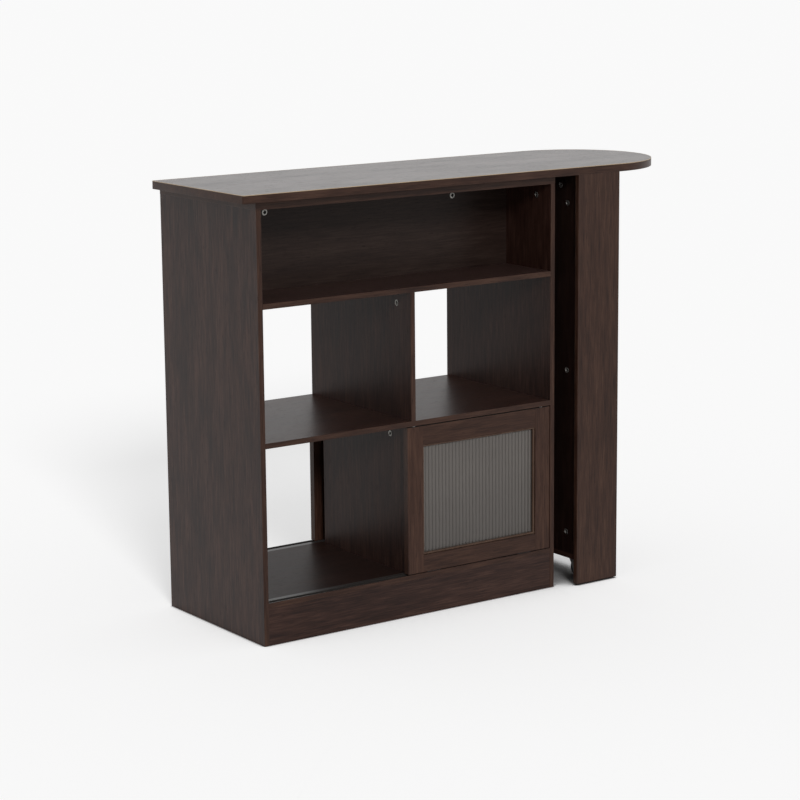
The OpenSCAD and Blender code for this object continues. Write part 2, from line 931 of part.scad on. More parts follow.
front_caster_fork();
front_caster_axle();
front_caster_wheel();
rear_caster_plate();
rear_caster_fork();
rear_caster_axle();
rear_caster_wheel();
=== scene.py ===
"""Bar cabinet with a swinging table top: its looks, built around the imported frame."""

import math

import bmesh
import bpy
from mathutils import Euler, Matrix, Vector


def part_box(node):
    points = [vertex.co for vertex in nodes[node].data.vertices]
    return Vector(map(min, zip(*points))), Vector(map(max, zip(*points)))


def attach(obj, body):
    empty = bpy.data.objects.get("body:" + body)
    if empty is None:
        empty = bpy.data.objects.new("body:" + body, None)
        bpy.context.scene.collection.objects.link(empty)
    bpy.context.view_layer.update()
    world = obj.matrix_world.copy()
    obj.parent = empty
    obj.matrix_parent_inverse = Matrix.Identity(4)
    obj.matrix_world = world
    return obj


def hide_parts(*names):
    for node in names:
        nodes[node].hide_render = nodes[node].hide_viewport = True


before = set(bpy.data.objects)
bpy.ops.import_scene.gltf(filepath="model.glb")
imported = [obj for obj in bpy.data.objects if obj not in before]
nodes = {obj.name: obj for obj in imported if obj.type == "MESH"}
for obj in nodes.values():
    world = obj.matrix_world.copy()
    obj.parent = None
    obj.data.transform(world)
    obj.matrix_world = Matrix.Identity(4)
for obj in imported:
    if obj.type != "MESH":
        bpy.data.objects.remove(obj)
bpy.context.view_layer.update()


# ---- The room ----
# A plain pale floor that runs out of sight, an even white sky and a soft lamp beside the
# camera, which stands at the photograph's place. Where an occlusion test finds little sky,
# the floor's colour and glow are darkened: a painted shadow under the object, and a narrow
# painted shade along each board's foot.
class Wire:
    """A socket's value. Sums and products on it add the Math nodes."""

    def __init__(self, net, socket):
        self.net, self.socket = net, socket

    def math(self, operation, a, b=0.0):
        return self.net.add("ShaderNodeMath", {"operation": operation}, {0: a, 1: b})[0]

    def __add__(self, other):
        return self.math("ADD", self, other)

    def __radd__(self, other):
        return self.math("ADD", other, self)

    def __sub__(self, other):
        return self.math("SUBTRACT", self, other)

    def __rsub__(self, other):
        return self.math("SUBTRACT", other, self)

    def __mul__(self, other):
        return self.math("MULTIPLY", self, other)

    def __rmul__(self, other):
        return self.math("MULTIPLY", other, self)

    def __truediv__(self, other):
        return self.math("DIVIDE", self, other)

    def __rtruediv__(self, other):
        return self.math("DIVIDE", other, self)

    def __gt__(self, other):
        return self.math("GREATER_THAN", self, other)

    def sine(self):
        return self.math("SINE", self)

    def size(self):
        return self.math("ABSOLUTE", self)

    def or_more(self, other):
        return self.math("MAXIMUM", self, other)


class Made:
    """A node that Net.add made; its outputs come out as Wires by name or number."""

    def __init__(self, net, node):
        self.net, self.node = net, node

    def __getitem__(self, key):
        return Wire(self.net, self.node.outputs[key])


class Net:
    """A node tree under construction."""

    def __init__(self, tree):
        self.tree = tree

    def add(self, kind, settings=None, links=None):
        """A node of a kind, with its settings made first and then its sockets fed."""
        node = self.tree.nodes.new(kind)
        for key, value in (settings or {}).items():
            if key == "stops":
                stops = node.color_ramp.elements
                for _ in value[2:]:
                    stops.new(0.5)
                for stop, (place, colour) in zip(stops, value):
                    stop.position, stop.color = place, (*colour, 1)
            else:
                setattr(node, key, value)
        self.feed(node, links or {})
        return Made(self, node)

    def feed(self, node, links):
        for key, value in links.items():
            if isinstance(value, Wire):
                self.tree.links.new(value.socket, node.inputs[key])
            else:
                node.inputs[key].default_value = value

    def spread(self, value, low, high):
        """The value's way from low to high, as 0 to 1."""
        return self.add("ShaderNodeMapRange", {"clamp": True}, {
            0: value, 1: low, 2: high})[0]

    def blend(self, share, a, b):
        """The colour a turning into b."""
        return self.add("ShaderNodeMix", {"data_type": "RGBA"}, {
            0: share, 6: (*a, 1) if isinstance(a, tuple) else a,
            7: (*b, 1) if isinstance(b, tuple) else b})[2]

    def seen(self):
        """1 where the camera sees it, straight or in gloss or glass."""
        ray = self.add("ShaderNodeLightPath")
        return ray["Is Camera Ray"].or_more(ray["Is Glossy Ray"]).or_more(
            ray["Is Transmission Ray"])


white = (1, 1, 1, 1)
sky_white = 0.965
sky_light = 0.36
sky = bpy.data.worlds.new("sky")
sky.use_nodes = True
sky_net = Net(sky.node_tree)
sky_net.feed(sky.node_tree.nodes["Background"], {
    "Color": white, "Strength": sky_net.seen() * (sky_white - sky_light) + sky_light})
bpy.context.scene.world = sky

floor_half = 100
floor_mesh = bmesh.new()
bmesh.ops.create_grid(floor_mesh, x_segments=1, y_segments=1, size=floor_half)
floor_data = bpy.data.meshes.new("floor")
floor_mesh.to_mesh(floor_data)
floor_mesh.free()
floor = bpy.data.objects.new("floor", floor_data)
bpy.context.scene.collection.objects.link(floor)

floor_grey = (0.93, 0.93, 0.93)
floor_seen = (0.78, 0.78, 0.78)
shadow_grey = (0.10, 0.09, 0.09)
sky_reach, sky_hidden, sky_open = 1.2, 0.05, 0.42
foot_reach, foot_hidden, foot_open = 0.012, 0.45, 0.85
least_sky = 0.15
glow_most, glow_low, glow_high = 0.50, 0.30, 0.48
floor_paint = bpy.data.materials.new("floor_paint")
floor_paint.use_nodes = True
room = Net(floor_paint.node_tree)
room.tree.nodes.clear()
seen = room.seen()
# Occlusion darkens the floor's colour and glow below: painted shadow and painted shade.
sky_above, foot_beside = (
    room.add("ShaderNodeAmbientOcclusion", {"samples": 12}, {"Distance": reach})["AO"]
    for reach in (sky_reach, foot_reach))
sky_share = room.spread(sky_above, sky_hidden, sky_open) * (1 - least_sky) + least_sky
clear = room.spread(foot_beside, foot_hidden, foot_open) * sky_share
matt = room.add("ShaderNodeBsdfDiffuse", None, {
    "Color": room.blend(seen, floor_grey, room.blend(clear, shadow_grey, floor_seen))})
glow = room.add("ShaderNodeEmission", None, {
    "Color": white,
    "Strength": seen * clear * glow_most * room.spread(sky_above, glow_low, glow_high)})
lit = room.add("ShaderNodeAddShader", None, {0: matt["BSDF"], 1: glow["Emission"]})
room.add("ShaderNodeOutputMaterial", None, {"Surface": lit[0]})
floor_data.materials.append(floor_paint)

lamp_turn = (63, 0, -21)
lamp = bpy.data.lights.new("lamp_beside_camera", "SUN")
lamp.energy = 1.5
lamp.angle = math.radians(14)
lamp_object = bpy.data.objects.new("lamp_beside_camera", lamp)
lamp_object.rotation_euler = [math.radians(angle) for angle in lamp_turn]
bpy.context.scene.collection.objects.link(lamp_object)

photo_width = 800
focal_pixels = 2442.2
camera_place = Vector((-3.23295, -4.4988, 1.5535))
yaw, pitch, roll = -0.61359, -0.1973, -0.0090677
eye = bpy.data.cameras.new("camera")
eye.sensor_width = 36.0
eye.lens = focal_pixels / photo_width * eye.sensor_width
eye.clip_start, eye.clip_end = 0.1, 400
camera = bpy.data.objects.new("camera", eye)
aim = Euler((math.pi / 2 + pitch, 0, yaw)).to_matrix() @ Matrix.Rotation(roll, 3, "Z")
camera.matrix_world = Matrix.LocRotScale(camera_place, aim, None)
bpy.context.scene.collection.objects.link(camera)
bpy.context.scene.camera = camera
bpy.context.scene.view_settings.view_transform = "Standard"


# ---- Laminated boards ----
# Chipboard with a printed espresso wood paper on both faces, pressed with a satin
# finish. The print runs up the standing boards and along the shelves and tops. The floor
# panel and the upper partition are printed darker as painted shade, and the upper shelf
# lighter as a painted reflection.
def finish(name, **fixed):
    """A new material and its net, with the shader's constant sockets set."""
    made = bpy.data.materials.new(name)
    made.use_nodes = True
    skin = made.node_tree.nodes["Principled BSDF"]
    for socket, value in fixed.items():
        skin.inputs[socket.replace("_", " ")].default_value = value
    return made, Net(made.node_tree), skin


def object_place(net):
    return net.add("ShaderNodeTexCoord")["Object"]


def noise(net, place, scale, detail, bend=0.0):
    return net.add("ShaderNodeTexNoise", None, {
        "Vector": place, "Scale": scale, "Detail": detail, "Distortion": bend})[0]


def draw_out(net, place, rates):
    """A place whose pattern is stretched along each axis that has a low rate."""
    return net.add("ShaderNodeVectorMath", {"operation": "MULTIPLY"}, {
        0: place, 1: rates})[0]


def bumps(net, height, strength, depth):
    return net.add("ShaderNodeBump", None, {
        "Strength": strength, "Distance": depth, "Height": height})[0]


def shade(colour, share):
    return tuple(channel * share for channel in colour)


def wood_print(name, grain, dark, middle, light, gloss=0.27, sheen=0.18, contrast=1.0,
               varnish=0.0):
    """Espresso wood: clouds, figure, rings, fibres and short pores along one axis."""
    made, net, skin = finish(name, Specular_IOR_Level=sheen)
    place = object_place(net)

    def streaks(scale, rate, detail, bend=0.0):
        rates = [1.0, 1.0, 1.0]
        rates[grain] = rate
        return noise(net, draw_out(net, place, rates), scale, detail, bend)

    cloud = streaks(18, rate=0.22, detail=3, bend=0.4)
    figure = streaks(110, rate=0.10, detail=4, bend=0.3)
    ring_turns = 95
    rings = (streaks(5.5, rate=0.16, detail=1) * ring_turns).sine()
    fibre = streaks(360, rate=0.05, detail=2)
    hair = streaks(900, rate=0.03, detail=1)
    pore_start, pore_full = 0.62, 0.74
    pores = net.spread(streaks(600, rate=0.08, detail=1), pore_start, pore_full)
    mixed = cloud * 0.48 + figure * 0.65 + fibre * 0.70 + hair * 0.25 + rings * 0.022
    mixed_mean = 1.04
    tone = (mixed - mixed_mean) * contrast + 0.5
    colour = net.add("ShaderNodeValToRGB", {"stops": [
        (0.22, dark), (0.50, middle), (0.82, light)]}, {0: tone})[0]
    pore_share = 0.6
    net.feed(skin, {
        "Base Color": net.blend(pores * pore_share, colour, shade(dark, 0.5)),
        "Normal": bumps(
            net, fibre + figure * 0.5 - pores, strength=0.22, depth=0.00015),
        "Roughness": gloss + fibre * 0.08 + figure * 0.08 + pores * 0.15})
    if varnish:
        net.feed(skin, {"Coat Weight": net.spread(tone, 0.30, 0.70) * varnish,
                        "Coat Roughness": gloss})
    return made


def dress(names, paint):
    for name in names:
        mesh = nodes[name].data
        mesh.materials.clear()
        mesh.materials.append(paint)


along, deep, up = 0, 1, 2
espresso = (0.0115, 0.0043, 0.0032), (0.0295, 0.0128, 0.0092), (0.0600, 0.0295, 0.0215)
painted_shade_brown = (0.0070, 0.0029, 0.0023), (0.0180, 0.0084, 0.0064), (0.0370, 0.0190, 0.0145)
painted_sheen_brown = (0.0190, 0.0098, 0.0082), (0.0395, 0.0215, 0.0185), (0.0680, 0.0410, 0.0350)
painted_shade_grey_brown = (0.0120, 0.0066, 0.0054), (0.0240, 0.0143, 0.0115), (0.0440, 0.0290, 0.0235)
dress(["left_side"], wood_print("side_grain_up", up, *espresso, contrast=1.6))
dress(["right_side", "middle_divider", "lower_divider"], wood_print(
    "inner_grain_up", up, *espresso, sheen=0.12))
dress(["cabinet_top", "front_plinth", "rear_plinth"], wood_print(
    "board_grain_along", along, *espresso))
dress(["middle_shelf"], wood_print("inner_grain_along", along, *espresso, sheen=0.12))
# The floor panel's print is darker: a painted shade.
dress(["floor_panel"], wood_print(
    "floor_grain_along", along, *painted_shade_brown, gloss=0.33, sheen=0.06, contrast=0.8))
# The upper shelf's print is lighter: a painted reflection.
dress(["upper_shelf"], wood_print(
    "shelf_grain_along", along, *painted_sheen_brown, sheen=0.16, contrast=0.7))
# The upper partition's print is darker and greyer: a painted shade.
dress(["upper_partition"], wood_print(
    "partition_grain_along", along, *painted_shade_grey_brown, sheen=0.12, contrast=0.6))


# ---- Edge bands ----
# Strips of plastic in the print's warm brown, glued on the sawn edges that show and
# scraped round along both arrises. Each is half a millimetre thick.
def geometry_net(name, sockets):
    """A geometry tree with one geometry in and out, and named inputs."""
    tree = bpy.data.node_groups.new(name, "GeometryNodeTree")
    for way in ("OUTPUT", "INPUT"):
        tree.interface.new_socket(
            "Geometry", in_out=way, socket_type="NodeSocketGeometry")
    for label, kind in sockets.items():
        tree.interface.new_socket(
            label, in_out="INPUT", socket_type="NodeSocket" + kind)
    net = Net(tree)
    return net, net.add("NodeGroupInput")


def close_net(net, geometry, paint):
    """Ends a geometry tree in one real mesh of one material."""
    whole = net.add("GeometryNodeRealizeInstances", None, {0: geometry})[0]
    painted = net.add("GeometryNodeSetMaterial", None, {
        "Geometry": whole, "Material": paint})[0]
    net.add("NodeGroupOutput", None, {0: painted})


def grow(name, source, net, values):
    """Runs a geometry tree on a mesh and returns the plain mesh piece that it makes."""
    seed = bpy.data.objects.new(name + "_seed", source)
    bpy.context.scene.collection.objects.link(seed)
    modifier = seed.modifiers.new("grow", "NODES")
    modifier.node_group = net.tree
    for item in net.tree.interface.items_tree:
        if item.in_out == "INPUT" and item.name in values:
            modifier[item.identifier] = values[item.name]
    seed.update_tag()
    grown = bpy.data.meshes.new_from_object(
        seed.evaluated_get(bpy.context.evaluated_depsgraph_get()))
    grown.name = name
    bpy.data.objects.remove(seed)
    piece = bpy.data.objects.new(name, grown)
    bpy.context.scene.collection.objects.link(piece)
    return piece


def places(name, spots):
    """A mesh of points that carry a turn and a stretch for what stands on them."""
    mesh = bpy.data.meshes.new(name)
    mesh.from_pydata([spot[0] for spot in spots], [], [])
    for label, index in (("turn", 1), ("stretch", 2)):
        layer = mesh.attributes.new(label, "FLOAT_VECTOR", "POINT")
        for item, spot in zip(layer.data, spots):
            item.vector = spot[index]
    return mesh


def stand(net, points, thing):
    """A copy of a thing on each point, turned and stretched as the point says."""
    turn, stretch = (
        net.add("GeometryNodeInputNamedAttribute", {"data_type": "FLOAT_VECTOR"}, {
            "Name": label})[0] for label in ("turn", "stretch"))
    return net.add("GeometryNodeInstanceOnPoints", None, {
        "Points": points, "Instance": thing, "Rotation": turn, "Scale": stretch})[0]


def rounded_section(net, inlet):
    """A strip's section, with its four corners scraped round."""
    section = net.add("GeometryNodeCurvePrimitiveQuadrilateral", None, {
        0: inlet["Width"], 1: inlet["Thickness"]})[0]
    return net.add("GeometryNodeFilletCurve", {"mode": "POLY"}, {
        "Curve": section, "Count": 4, "Radius": inlet["Round"], "Limit Radius": True})[0]


band_thick = 0.0005
band_round = 0.00045
band_wide = 0.012
section_inputs = {
    "Width": "Float", "Thickness": "Float", "Round": "Float", "Material": "Material"}
strip_net, inlet = geometry_net("edge_strip", section_inputs)
spine = strip_net.add("GeometryNodeCurvePrimitiveLine", None, {
    "Start": (0, 0, -0.5), "End": (0, 0, 0.5)})[0]
strip = strip_net.add("GeometryNodeCurveToMesh", None, {
    "Curve": spine, "Profile Curve": rounded_section(strip_net, inlet),
    "Fill Caps": True})[0]
close_net(strip_net, stand(strip_net, inlet["Geometry"], strip), inlet["Material"])


def edge_spots(edges):
    """Each named edge face's middle, and the turn and stretch of the strip on it."""
    spots = []
    for node, (axis, side) in edges:
        low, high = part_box(node)
        size, middle = high - low, (low + high) / 2
        out = Vector([side if i == axis else 0 for i in range(3)])
        length_axis = max((i for i in range(3) if i != axis), key=lambda i: size[i])
        length = Vector([1.0 if i == length_axis else 0 for i in range(3)])
        middle[axis] = high[axis] if side > 0 else low[axis]
        turn = Matrix((out.cross(length), out, length)).transposed().to_euler()
        width = size[3 - axis - length_axis]
        spots.append((middle, turn, (width / band_wide, 1, size[length_axis])))
    return spots


def lay_bands(name, edges, paint, body):
    """One piece of all the bands on the given (node, face) edges."""
    piece = grow(name, places(name, edge_spots(edges)), strip_net, {
        "Width": band_wide, "Thickness": band_thick * 2, "Round": band_round,
        "Material": paint})
    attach(piece, body)


left_face, right_face = (along, -1), (along, 1)
front_face, rear_face = (deep, -1), (deep, 1)
under_face = (up, -1)
warm = (0.0180, 0.0068, 0.0042), (0.0390, 0.0172, 0.0108), (0.0680, 0.0335, 0.0215)
band_up = wood_print("edge_band_up", up, *warm, gloss=0.30)
band_along = wood_print("edge_band_along", along, *warm, gloss=0.30)
standing_boards = ("left_side", "right_side", "middle_divider", "lower_divider")
lying_boards = ("upper_shelf", "middle_shelf", "floor_panel")
lay_bands("cabinet_bands_up", [
    (name, face) for name in standing_boards for face in (front_face, rear_face)],
    band_up, "cabinet")
lay_bands("cabinet_bands_along", [
    (name, face) for name in lying_boards for face in (front_face, rear_face)] + [
    ("cabinet_top", face) for face in (front_face, rear_face, left_face, right_face)],
    band_along, "cabinet")


# ---- Cam locks ----
# Zinc cast discs that draw the boards together, sunk flush in bored holes. Each has a
# flat rim round a deep cup with a cross recess for the screwdriver, the cup coloured near
# black as painted shade.
mm = 0.001


def solids(name):
    """The corner points of each separate solid of a CAD node."""
    mesh = bmesh.new()
    mesh.from_mesh(nodes[name].data)
    bmesh.ops.remove_doubles(mesh, verts=mesh.verts, dist=1e-6)
    left, found = set(mesh.verts), []
    while left:
        solid, edge = [], [left.pop()]
        while edge:
            point = edge.pop()
            solid.append(point.co.copy())
            near_by = {e.other_vert(point) for e in point.link_edges} & left
            edge += near_by
            left -= near_by
        found.append(solid)
    mesh.free()
    return found


def span(points):
    """The lowest and highest corner of some points."""
    return (Vector([min(p[i] for p in points) for i in range(3)]),
            Vector([max(p[i] for p in points) for i in range(3)]))


def turned_shape(name, profile, steps, sharp=35):
    """A closed mesh turned from (radius, height) points round Z, in millimetres."""
    mesh = bmesh.new()
    line = [mesh.verts.new((r * mm, 0, z * mm)) for r, z in profile]
    for a, b in zip(line, line[1:]):
        mesh.edges.new((a, b))
    bmesh.ops.spin(
        mesh, geom=mesh.verts[:] + mesh.edges[:], axis=(0, 0, 1), cent=(0, 0, 0),
        angle=2 * math.pi, steps=steps, use_merge=True, use_duplicate=False)
    bmesh.ops.remove_doubles(mesh, verts=mesh.verts, dist=1e-7)
    bmesh.ops.recalc_face_normals(mesh, faces=mesh.faces)
    data = bpy.data.meshes.new(name)
    mesh.to_mesh(data)
    mesh.free()
    smooth(data, sharp)
    return data


def smooth(data, sharp):
    """Shades a mesh smooth but for its edges sharper than an angle in degrees."""
    for face in data.polygons:
        face.use_smooth = True
    data.set_sharp_from_angle(angle=math.radians(sharp))


def add_bars(data, size, middle, turns):
    """Adds a bar of a size and middle in millimetres to a mesh, at each turn round Z."""
    mesh = bmesh.new()
    mesh.from_mesh(data)
    for turn in turns:
        bar = bmesh.ops.create_cube(mesh, size=1)["verts"]
        bmesh.ops.scale(mesh, vec=[side * mm for side in size], verts=bar)
        bmesh.ops.translate(mesh, vec=[place * mm for place in middle], verts=bar)
        bmesh.ops.rotate(
            mesh, cent=(0, 0, 0), matrix=Matrix.Rotation(turn, 3, "Z"), verts=bar)
    mesh.to_mesh(data)
    mesh.free()


def metal(name, colour, rough, grime=0.4):
    """Plated steel or cast zinc: a clouded sheen with fine marks and grime."""
    made, net, skin = finish(name, Metallic=1.0)
    place = object_place(net)
    cloud = noise(net, place, 240, detail=4)
    marks = noise(net, place, 1440, detail=2)
    net.feed(skin, {
        "Base Color": net.blend(
            net.spread(cloud, 0.35, 0.7), colour, shade(colour, 1 - grime)),
        "Roughness": cloud * 0.25 + rough,
        "Normal": bumps(net, marks, strength=0.2, depth=0.0001)})
    return made


scatter_net, inlet = geometry_net("set_in_place", {
    "Thing": "Object", "Material": "Material"})
thing = scatter_net.add("GeometryNodeObjectInfo", None, {
    "Object": inlet["Thing"]})["Geometry"]
close_net(scatter_net, stand(scatter_net, inlet["Geometry"], thing), inlet["Material"])


def set_in_place(name, mesh, spots, paint):
    """One mesh of the same small thing at every spot."""
    thing = bpy.data.objects.new(name + "_thing", mesh)
    piece = grow(name, places(name, spots), scatter_net, {
        "Thing": thing, "Material": paint})
    bpy.data.objects.remove(thing)
    return piece


zinc = metal("cast_zinc", (0.41, 0.397, 0.372), rough=0.32)
# The cup's near-black colour is painted shade in the recess, with some grime.
cup_painted_shade = metal("cam_cup_grime_and_shade", (0.055, 0.052, 0.050), rough=0.5)
bolt_steel = metal("bolt_steel", (0.60, 0.59, 0.56), rough=0.34)
cam_rim = turned_shape("cam_rim", [
    (3.9, -9.4), (3.9, -0.5), (4.1, -0.1), (4.4, 0.04), (6.0, 0.04), (6.35, -0.15),
    (6.5, -0.9), (7.35, -1.0), (7.35, -9.4), (3.9, -9.4)], steps=32)
cam_cup = turned_shape("cam_cup", [
    (0, -5.2), (0, -3.4), (3.1, -3.4), (3.6, -3.0), (4.15, -1.6), (4.15, -5.2),
    (0, -5.2)], steps=24)
cross_bar = (6.2, 1.1, 1.4)
add_bars(cam_cup, cross_bar, (0, 0, -3.1), (0, math.pi / 2))
cam_socket = 2.5 * mm
same_level = 0.01 * mm
full_size = (1, 1, 1)


def cam_spots(name):
    """Each cam's open face, told from its back by the socket's floor behind it."""
    spots = []
    for points in solids(name):
        low, high = span(points)
        axis = min(range(3), key=lambda i: high[i] - low[i])
        middle = (low + high) / 2
        upper = sum(abs(p[axis] - high[axis] + cam_socket) < same_level for p in points)
        lower = sum(abs(p[axis] - low[axis] - cam_socket) < same_level for p in points)
        side = 1 if upper > lower else -1
        middle[axis] = high[axis] if side > 0 else low[axis]
        out = Vector([side if i == axis else 0 for i in range(3)])
        spots.append((middle, out.to_track_quat("Z", "Y").to_euler(), full_size))
    return spots


for name, body, node in (("cabinet_cam", "cabinet", "cabinet_cams"),
                         ("leg_cam", "table", "leg_cams")):
    spots = cam_spots(node)
    rims = set_in_place(name + "_rims", cam_rim, spots, zinc)
    cups = set_in_place(name + "_cups", cam_cup, spots, cup_painted_shade)
    for piece in (rims, cups):
        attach(piece, body)
    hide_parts(node)
dress(["cabinet_cam_bolts", "leg_cam_bolts"], bolt_steel)


# ---- Dowels ----
# Beech pins that line the boards up while the cam locks draw them tight. They are
# glued in the feet of the standing boards and in the leg.
beech, net, skin = finish("beech", Specular_IOR_Level=0.3)
flecks = noise(net, draw_out(net, object_place(net), (1, 1, 0.1)), 900, detail=2)
colour = net.add("ShaderNodeValToRGB", {"stops": [
    (0.35, (0.38, 0.24, 0.12)), (0.65, (0.58, 0.42, 0.25))]}, {0: flecks})[0]
net.feed(skin, {"Base Color": colour, "Roughness": flecks * 0.2 + 0.5})
dress(["cabinet_dowels", "leg_dowels"], beech)


# ---- Door tracks ----
# Dark extruded profiles let into the floor panel and the middle shelf, front and rear.
# They are drawn through a die, so fine lines run along them.
track_grey, net, skin = finish("track_grey", Specular_IOR_Level=0.4)
lines = noise(net, draw_out(net, object_place(net), (0.01, 1, 1)), 1500, detail=3)
colour = net.add("ShaderNodeValToRGB", {"stops": [
    (0.3, (0.016, 0.014, 0.013)), (0.7, (0.030, 0.026, 0.024))]}, {0: lines})[0]
net.feed(skin, {"Base Color": colour, "Roughness": lines * 0.2 + 0.30,
                "Normal": bumps(net, lines, strength=0.3, depth=0.0001)})
dress(["front_floor_track", "rear_floor_track", "front_top_track", "rear_top_track"],
      track_grey)


# ---- Sliding doors ----
# Each frame is two stiles and two rails wrapped in the print, with the grain along
# each stick. Four lighter beads, set back a little, hold the glass in its opening.
def ease(names, width):
    """Rounds a CAD node's sharp arrises."""
    for name in names:
        weld = nodes[name].modifiers.new("weld", "WELD")
        weld.merge_threshold = 1e-6
        bevel = nodes[name].modifiers.new("ease", "BEVEL")
        bevel.width, bevel.segments = width, 2
        bevel.limit_method, bevel.angle_limit = "ANGLE", math.radians(50)
        bevel.use_clamp_overlap = True
        bevel.harden_normals = True


stile_brown = [shade(colour, 1.12) for colour in warm]
stile_print = wood_print("door_stick_up", up, *stile_brown, gloss=0.34)
rail_print = wood_print("door_stick_along", along, *warm, gloss=0.34)
stick_ease = 0.0009
for side in ("front", "rear"):
    stiles = [f"{side}_door_left_stile", f"{side}_door_right_stile"]
    rails = [f"{side}_door_top_rail", f"{side}_door_bottom_rail"]
    dress(stiles, stile_print)
    dress(rails, rail_print)
    ease(stiles + rails, stick_ease)

bead_wide = 0.0048
bead_back = 0.0018
bead_round = 0.0020
bead_brown = (0.0480, 0.0260, 0.0170), (0.0760, 0.0440, 0.0300), (0.1050, 0.0640, 0.0450)
bead_print = wood_print("glazing_bead", up, *bead_brown, gloss=0.34)
upright, lying = (0, 0, 0), (0, math.pi / 2, 0)
for side, facing in (("front", -1), ("rear", 1)):
    left, right, top, bottom, glass_box = (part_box(f"{side}_door_{stick}") for stick in (
        "left_stile", "right_stile", "top_rail", "bottom_rail", "glass"))
    outside = left[0].y if facing < 0 else left[1].y
    pane_face = glass_box[0].y if facing < 0 else glass_box[1].y
    bead_deep = abs(pane_face - outside) - bead_back
    y = (pane_face + outside - facing * bead_back) / 2
    x_low, x_high = left[1].x, right[0].x
    z_low, z_high = bottom[1].z, top[0].z
    half = bead_wide / 2
    spots = [
        (Vector((x, y, (z_low + z_high) / 2)), upright, (1, 1, z_high - z_low))
        for x in (x_low + half, x_high - half)] + [
        (Vector(((x_low + x_high) / 2, y, z)), lying, (1, 1, x_high - x_low))
        for z in (z_low + half, z_high - half)]
    beads = grow(f"{side}_glazing_beads", places("bead_spots", spots), strip_net, {
        "Width": bead_wide, "Thickness": bead_deep, "Round": bead_round,
        "Material": bead_print})
    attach(beads, f"{side}_door")


# ---- Fluted glass ----
# A pressed pane with upright round flutes on its outer face, flat behind, held in the
# frame's groove. It blurs what stands behind it to an even grey, with painted shade in
# the flute valleys and towards the bottom.
flute_count = 35
flute_steps = 10
flute_deep = 0.0014
pane_net, inlet = geometry_net("fluted_pane", {
    "Width": "Float", "Height": "Float", "Thickness": "Float", "Flute": "Float",
    "Depth": "Float", "Steps": "Int", "Material": "Material"})
sheet = pane_net.add("GeometryNodeMeshGrid", None, {
    "Size X": inlet["Width"], "Size Y": inlet["Height"], "Vertices X": inlet["Steps"],
    "Vertices Y": 2})["Mesh"]
raised = pane_net.add("GeometryNodeExtrudeMesh", {"mode": "FACES"}, {
    "Mesh": sheet, "Offset Scale": inlet["Thickness"], "Individual": False})
back = pane_net.add("GeometryNodeFlipFaces", None, {0: sheet})[0]
spot = pane_net.add("ShaderNodeSeparateXYZ", None, {
    0: pane_net.add("GeometryNodeInputPosition")[0]})
turns = (spot["X"] + inlet["Width"] * 0.5) / inlet["Flute"] * math.pi
swell = turns.sine().size() - 1
is_front = spot["Z"] > inlet["Thickness"] * 0.5
push = pane_net.add("ShaderNodeCombineXYZ", None, {
    "Z": swell * inlet["Depth"] * is_front})[0]
both = pane_net.add("GeometryNodeJoinGeometry")
pane_net.tree.links.new(raised["Mesh"].socket, both.node.inputs[0])
pane_net.tree.links.new(back.socket, both.node.inputs[0])
joined = pane_net.add("GeometryNodeMergeByDistance", None, {
    "Geometry": both[0], "Distance": 0.00001})[0]
fluted = pane_net.add("GeometryNodeSetPosition", None, {
    "Geometry": joined, "Offset": push})[0]
close_net(pane_net, fluted, inlet["Material"])


def dim(net, colour, share):
    """A colour times a share that may vary."""
    return net.add("ShaderNodeVectorMath", {"operation": "SCALE"}, {
        0: colour, "Scale": share})[0]


haze_low, haze_high = (0.152, 0.134, 0.121), (0.194, 0.174, 0.158)
groove_painted_shade = (0.088, 0.074, 0.067)
groove_end, crown_start = 0.10, 0.62
low_shade_start, low_shade_end = -0.02, 0.19
low_shade_least, low_shade_rise = 0.76, 0.30
glass_low, glass_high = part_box("front_door_glass")
flute_pitch = (glass_high.x - glass_low.x) / flute_count
glass, net, skin = finish("fluted_glass", IOR=1.46, Transmission_Weight=0.42,
                          Specular_IOR_Level=0.5)
place = object_place(net)
centred = net.add("ShaderNodeMapping", None, {
    "Vector": place, "Location": (-glass_low.x, 0, 0)})[0]
spot = net.add("ShaderNodeSeparateXYZ", None, {0: centred})
crown = (spot["X"] * (math.pi / flute_pitch)).sine().size()
haze = noise(net, place, 14, detail=3)
tint = net.blend(haze, haze_low, haze_high)
# The flute valleys are coloured darker: painted shade in the grooves.
tint = net.blend(net.spread(crown, groove_end, crown_start), groove_painted_shade, tint)
# The pane's colour darkens towards the bottom: a painted shade.
painted_low_shade = net.spread(spot["Z"], glass_low.z + low_shade_start, glass_low.z + low_shade_end)
net.feed(skin, {"Base Color": dim(net, tint, painted_low_shade * low_shade_rise + low_shade_least),
                "Roughness": haze * 0.12 + 0.26})

for side, facing in (("front", -1), ("rear", 1)):
    low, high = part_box(f"{side}_door_glass")
    size = high - low
    pane = grow(f"{side}_pane", bpy.data.meshes.new("pane_seed"), pane_net, {
        "Width": size.x, "Height": size.z, "Thickness": size.y,
        "Flute": size.x / flute_count, "Depth": flute_deep,
        "Steps": flute_count * flute_steps + 1, "Material": glass})
    turn = Matrix.Rotation(math.pi / 2 * -facing, 4, "X")
    middle = (low + high) / 2
    middle.y = high.y if facing < 0 else low.y
    pane.data.transform(Matrix.Translation(middle) @ turn)
    smooth(pane.data, sharp=40)
    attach(pane, f"{side}_door")
    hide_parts(f"{side}_door_glass")


